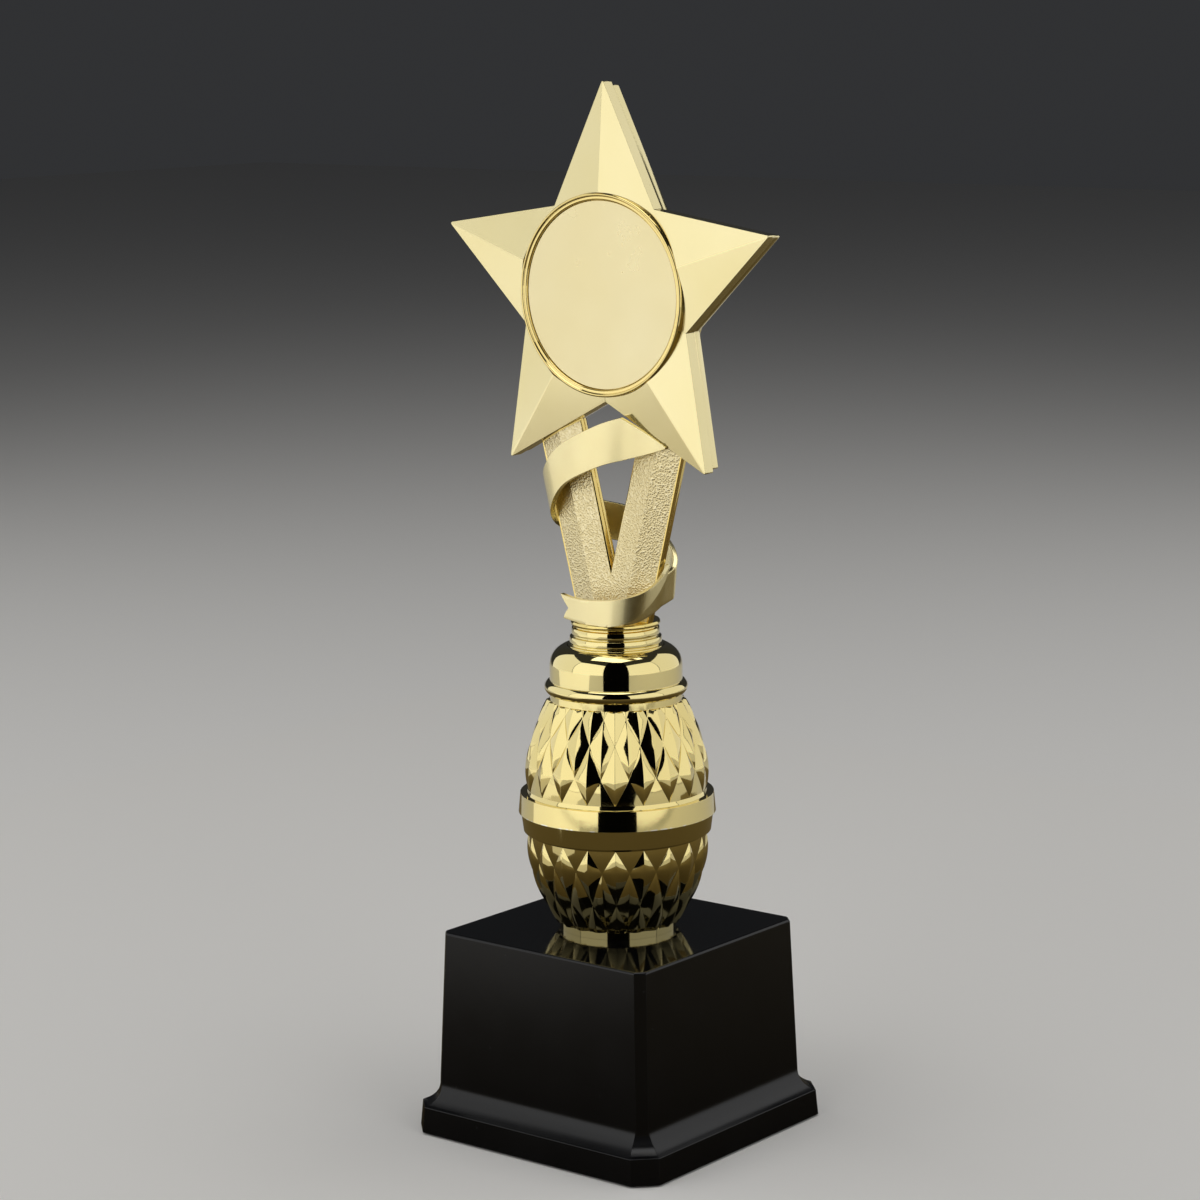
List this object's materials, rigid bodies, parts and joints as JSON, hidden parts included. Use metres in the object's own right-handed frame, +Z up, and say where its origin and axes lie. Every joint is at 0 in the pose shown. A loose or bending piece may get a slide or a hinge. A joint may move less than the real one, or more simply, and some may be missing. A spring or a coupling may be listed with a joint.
{
  "type": "star trophy",
  "caption": "Gold star on a splayed column wound by a ribbon, above a collared barrel stem on a square black base with cut corners.",
  "frame": {"origin": "centre of the base on the table", "axes": "+Z up, front towards -Y"},
  "size_m": [0.1072, 0.083, 0.2849],
  "materials": {
    "base_black": "gloss black moulded plastic, satin sheen on the sides",
    "felt": "dark felt sheet",
    "weight_plaster": "cast plaster",
    "steel": "zinc-plated steel",
    "barrel_gold": "vacuum-metallised plastic, mirror gold",
    "collar_gold": "vacuum-metallised plastic, mirror gold",
    "figure_gold": "vacuum-metallised plastic, mirror gold",
    "star_gold": "vacuum-metallised plastic, pale mirror gold",
    "holder_gold": "vacuum-metallised plastic, pale mirror gold",
    "disc_gold": "smooth satin pale gold",
    "stipple_gold": "vacuum-metallised over a fine stipple",
    "ribbon_gold": "vacuum-metallised plastic, pale mirror gold"
  },
  "bodies": {
    "root": {"base_shell": "base_black", "felt_pad": "felt", "base_weight": "weight_plaster", "threaded_rod": "steel", "top_nut": "steel", "bottom_nut": "steel", "bottom_washer": "steel", "lower_barrel": "barrel_gold", "upper_barrel": "barrel_gold", "shoulder_collar": "collar_gold", "ribbed_neck": "collar_gold", "figure_foot": "figure_gold", "star_front": "star_gold", "star_back": "star_gold", "medallion_holder_front": "holder_gold", "medallion_holder_back": "holder_gold", "medallion_disc_front": "disc_gold", "medallion_disc_back": "disc_gold", "column_front": "stipple_gold", "column_back": "stipple_gold", "ribbon_upper": "ribbon_gold", "ribbon_back": "ribbon_gold", "ribbon_tail": "ribbon_gold"}
  },
  "joints": []
}
